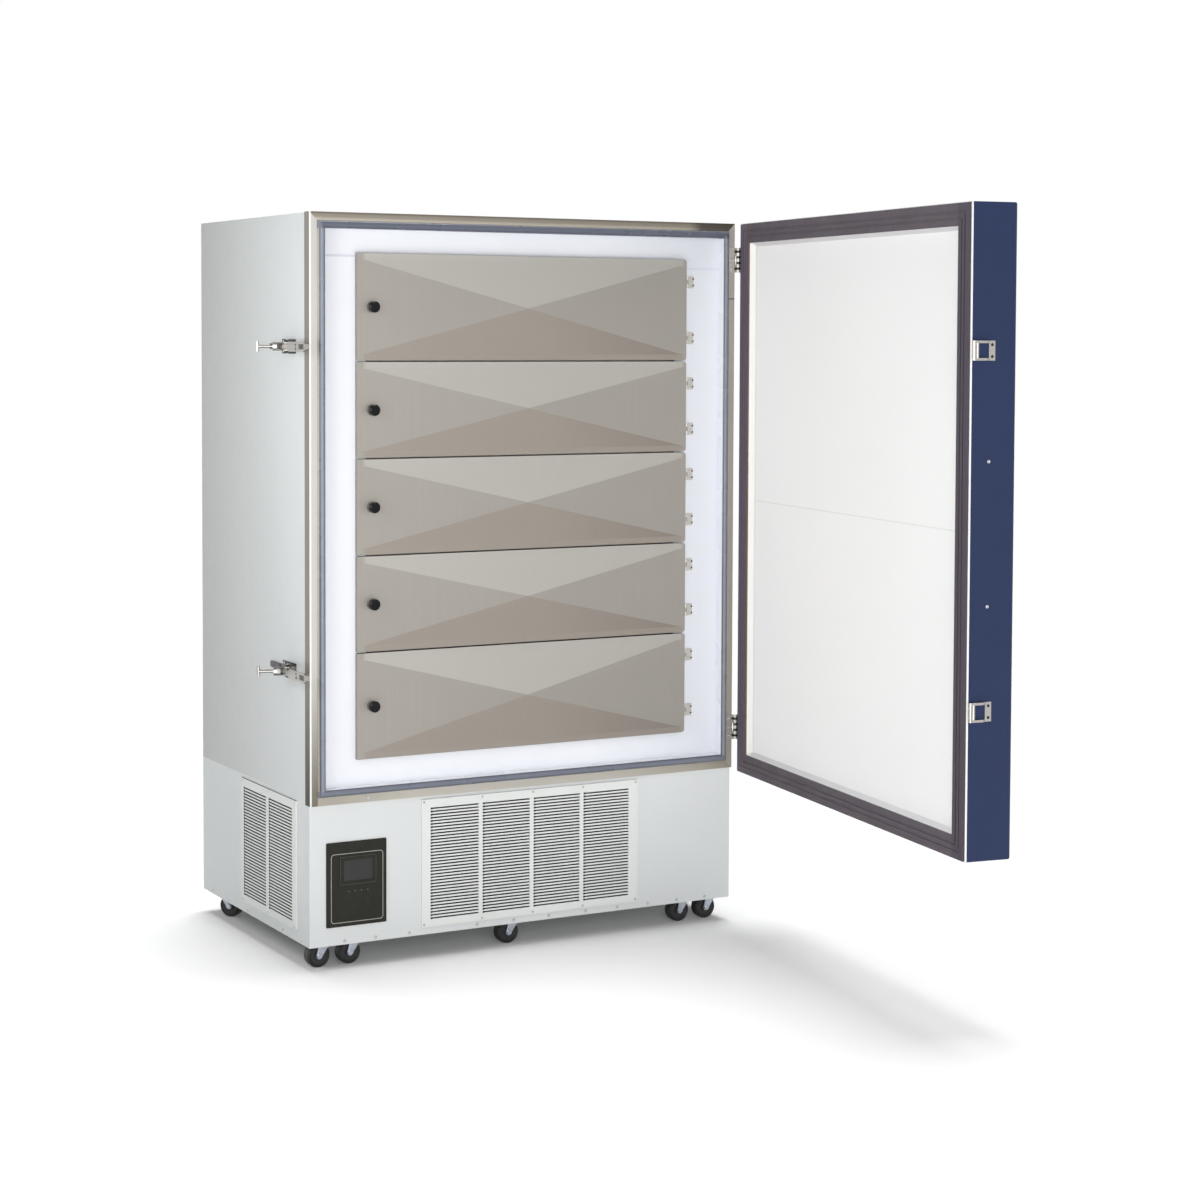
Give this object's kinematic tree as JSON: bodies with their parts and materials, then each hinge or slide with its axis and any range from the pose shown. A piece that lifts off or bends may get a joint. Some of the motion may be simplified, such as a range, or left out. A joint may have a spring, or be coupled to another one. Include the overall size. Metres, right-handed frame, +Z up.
{
  "type": "ultra low temperature freezer",
  "caption": "Upright laboratory freezer with a thick insulated outer door, steel inner doors over storage compartments, side draw latches, a louvred machine base and swivel casters.",
  "frame": {"origin": "on the floor under the middle of the cabinet's footprint", "axes": "+Z up, -Y towards the front with the doors, +X to the right seen from the front, where the hinges are"},
  "size_m": [1.5318, 2.1527, 1.992],
  "materials": {
    "white_paint": "satin",
    "foam": "matte",
    "stainless": "brushed",
    "trim_steel": "brushed",
    "white_plastic": "satin",
    "tube_rubber": "gloss",
    "dark_rubber": "matte",
    "navy_paint": "satin",
    "black_plastic": "satin",
    "display_glass": "gloss",
    "zinc": "satin",
    "bright_steel": "polished",
    "black_paint": "satin",
    "galvanised": "matte",
    "fin_aluminium": "matte",
    "wheel_black": "matte"
  },
  "bodies": {
    "cabinet": {"cabinet_shell": "white_paint", "cabinet_insulation": "foam", "inner_liner": "stainless", "shelves": "stainless", "liner_frame": "white_plastic", "cabinet_gasket": "tube_rubber", "front_trim": "trim_steel", "base_panels": "white_paint", "base_deck": "galvanised", "front_grille": "white_paint", "side_grilles": "white_paint", "control_plate": "black_plastic", "display_bezel": "black_plastic", "display_screen": "display_glass", "cord_gland": "black_plastic", "compressors": "black_paint", "condenser": "fin_aluminium", "fan_motor": "black_paint", "cabinet_hinges": "trim_steel", "inner_hinge_leaves": "trim_steel", "latch_bases": "bright_steel", "latch_pads": "dark_rubber", "caster_plates": "zinc"},
    "outer_door": {"door_skin": "navy_paint", "door_insulation": "foam", "door_liner": "white_plastic", "door_gasket": "dark_rubber", "door_hinges": "trim_steel", "keepers": "bright_steel"},
    "condenser_fan": {"fan_rotor": "black_plastic"},
    "inner_door_1": {"inner_door_1": "stainless", "inner_knob_1": "black_plastic"},
    "inner_door_2": {"inner_door_2": "stainless", "inner_knob_2": "black_plastic"},
    "inner_door_3": {"inner_door_3": "stainless", "inner_knob_3": "black_plastic"},
    "inner_door_4": {"inner_door_4": "stainless", "inner_knob_4": "black_plastic"},
    "inner_door_5": {"inner_door_5": "stainless", "inner_knob_5": "black_plastic"},
    "upper_latch_lever": {"upper_latch_lever": "bright_steel"},
    "upper_latch_hook": {"upper_latch_hook": "bright_steel"},
    "lower_latch_lever": {"lower_latch_lever": "bright_steel"},
    "lower_latch_hook": {"lower_latch_hook": "bright_steel"},
    "front_left_outer_swivel": {"front_left_outer_fork": "zinc"},
    "front_left_outer_roller": {"front_left_outer_wheel": "wheel_black"},
    "front_left_inner_swivel": {"front_left_inner_fork": "zinc"},
    "front_left_inner_roller": {"front_left_inner_wheel": "wheel_black"},
    "front_middle_swivel": {"front_middle_fork": "zinc"},
    "front_middle_roller": {"front_middle_wheel": "wheel_black"},
    "front_right_inner_swivel": {"front_right_inner_fork": "zinc"},
    "front_right_inner_roller": {"front_right_inner_wheel": "wheel_black"},
    "front_right_outer_swivel": {"front_right_outer_fork": "zinc"},
    "front_right_outer_roller": {"front_right_outer_wheel": "wheel_black"},
    "rear_left_swivel": {"rear_left_fork": "zinc"},
    "rear_left_roller": {"rear_left_wheel": "wheel_black"},
    "rear_right_swivel": {"rear_right_fork": "zinc"},
    "rear_right_roller": {"rear_right_wheel": "wheel_black"}
  },
  "joints": [
    {"name": "outer_door_swing", "type": "hinge", "parent": "cabinet", "child": "outer_door", "pos_m": [0.655, -0.4147, 1.223], "axis": [0, 0, 1], "range_deg": [-82, 38]},
    {"name": "condenser_fan_spin", "type": "hinge", "parent": "cabinet", "child": "condenser_fan", "pos_m": [0.0085, -0.3027, 0.232], "axis": [0, 1, 0], "continuous": true},
    {"name": "inner_door_1_swing", "type": "hinge", "parent": "cabinet", "child": "inner_door_1", "pos_m": [0.498, -0.396, 1.7465], "axis": [0, 0, 1], "range_deg": [0, 85]},
    {"name": "inner_door_2_swing", "type": "hinge", "parent": "cabinet", "child": "inner_door_2", "pos_m": [0.498, -0.396, 1.476], "axis": [0, 0, 1], "range_deg": [0, 85]},
    {"name": "inner_door_3_swing", "type": "hinge", "parent": "cabinet", "child": "inner_door_3", "pos_m": [0.498, -0.396, 1.22], "axis": [0, 0, 1], "range_deg": [0, 85]},
    {"name": "inner_door_4_swing", "type": "hinge", "parent": "cabinet", "child": "inner_door_4", "pos_m": [0.498, -0.396, 0.964], "axis": [0, 0, 1], "range_deg": [0, 85]},
    {"name": "inner_door_5_swing", "type": "hinge", "parent": "cabinet", "child": "inner_door_5", "pos_m": [0.498, -0.396, 0.6935], "axis": [0, 0, 1], "range_deg": [0, 85]},
    {"name": "upper_lever_swing", "type": "hinge", "parent": "cabinet", "child": "upper_latch_lever", "pos_m": [-0.6645, -0.298, 1.642], "axis": [0, 0, 1], "range_deg": [-70, 40]},
    {"name": "upper_hook_swing", "type": "hinge", "parent": "upper_latch_lever", "child": "upper_latch_hook", "pos_m": [-0.67766, -0.29321, 1.642], "axis": [0, 0, 1], "range_deg": [-40, 70]},
    {"name": "lower_lever_swing", "type": "hinge", "parent": "cabinet", "child": "lower_latch_lever", "pos_m": [-0.6645, -0.298, 0.786], "axis": [0, 0, 1], "range_deg": [-70, 40]},
    {"name": "lower_hook_swing", "type": "hinge", "parent": "lower_latch_lever", "child": "lower_latch_hook", "pos_m": [-0.67766, -0.29321, 0.786], "axis": [0, 0, 1], "range_deg": [-40, 70]},
    {"name": "front_left_outer_swivel", "type": "hinge", "parent": "cabinet", "child": "front_left_outer_swivel", "pos_m": [-0.584, -0.345, 0.077], "axis": [0, 0, 1], "continuous": true},
    {"name": "front_left_outer_roll", "type": "hinge", "parent": "front_left_outer_swivel", "child": "front_left_outer_roller", "pos_m": [-0.604, -0.345, 0.03175], "axis": [0, 1, 0], "continuous": true},
    {"name": "front_left_inner_swivel", "type": "hinge", "parent": "cabinet", "child": "front_left_inner_swivel", "pos_m": [-0.496, -0.345, 0.077], "axis": [0, 0, 1], "continuous": true},
    {"name": "front_left_inner_roll", "type": "hinge", "parent": "front_left_inner_swivel", "child": "front_left_inner_roller", "pos_m": [-0.516, -0.345, 0.03175], "axis": [0, 1, 0], "continuous": true},
    {"name": "front_middle_swivel", "type": "hinge", "parent": "cabinet", "child": "front_middle_swivel", "pos_m": [-0.023, -0.345, 0.077], "axis": [0, 0, 1], "continuous": true},
    {"name": "front_middle_roll", "type": "hinge", "parent": "front_middle_swivel", "child": "front_middle_roller", "pos_m": [-0.043, -0.345, 0.03175], "axis": [0, 1, 0], "continuous": true},
    {"name": "front_right_inner_swivel", "type": "hinge", "parent": "cabinet", "child": "front_right_inner_swivel", "pos_m": [0.525, -0.345, 0.077], "axis": [0, 0, 1], "continuous": true},
    {"name": "front_right_inner_roll", "type": "hinge", "parent": "front_right_inner_swivel", "child": "front_right_inner_roller", "pos_m": [0.505, -0.345, 0.03175], "axis": [0, 1, 0], "continuous": true},
    {"name": "front_right_outer_swivel", "type": "hinge", "parent": "cabinet", "child": "front_right_outer_swivel", "pos_m": [0.613, -0.345, 0.077], "axis": [0, 0, 1], "continuous": true},
    {"name": "front_right_outer_roll", "type": "hinge", "parent": "front_right_outer_swivel", "child": "front_right_outer_roller", "pos_m": [0.593, -0.345, 0.03175], "axis": [0, 1, 0], "continuous": true},
    {"name": "rear_left_swivel", "type": "hinge", "parent": "cabinet", "child": "rear_left_swivel", "pos_m": [-0.611, 0.319, 0.077], "axis": [0, 0, 1], "continuous": true},
    {"name": "rear_left_roll", "type": "hinge", "parent": "rear_left_swivel", "child": "rear_left_roller", "pos_m": [-0.59814, 0.30368, 0.03175], "axis": [0.766, 0.6428, 0], "continuous": true},
    {"name": "rear_right_swivel", "type": "hinge", "parent": "cabinet", "child": "rear_right_swivel", "pos_m": [0.611, 0.319, 0.077], "axis": [0, 0, 1], "continuous": true},
    {"name": "rear_right_roll", "type": "hinge", "parent": "rear_right_swivel", "child": "rear_right_roller", "pos_m": [0.62386, 0.30368, 0.03175], "axis": [0.766, 0.6428, 0], "continuous": true}
  ],
  "couplings": [
    {"joint": "upper_hook_swing", "follows": "upper_lever_swing", "ratio": -1},
    {"joint": "lower_hook_swing", "follows": "lower_lever_swing", "ratio": -1},
    {"joint": "front_left_inner_swivel", "follows": "front_left_outer_swivel", "ratio": 1},
    {"joint": "front_right_inner_swivel", "follows": "front_right_outer_swivel", "ratio": 1}
  ]
}
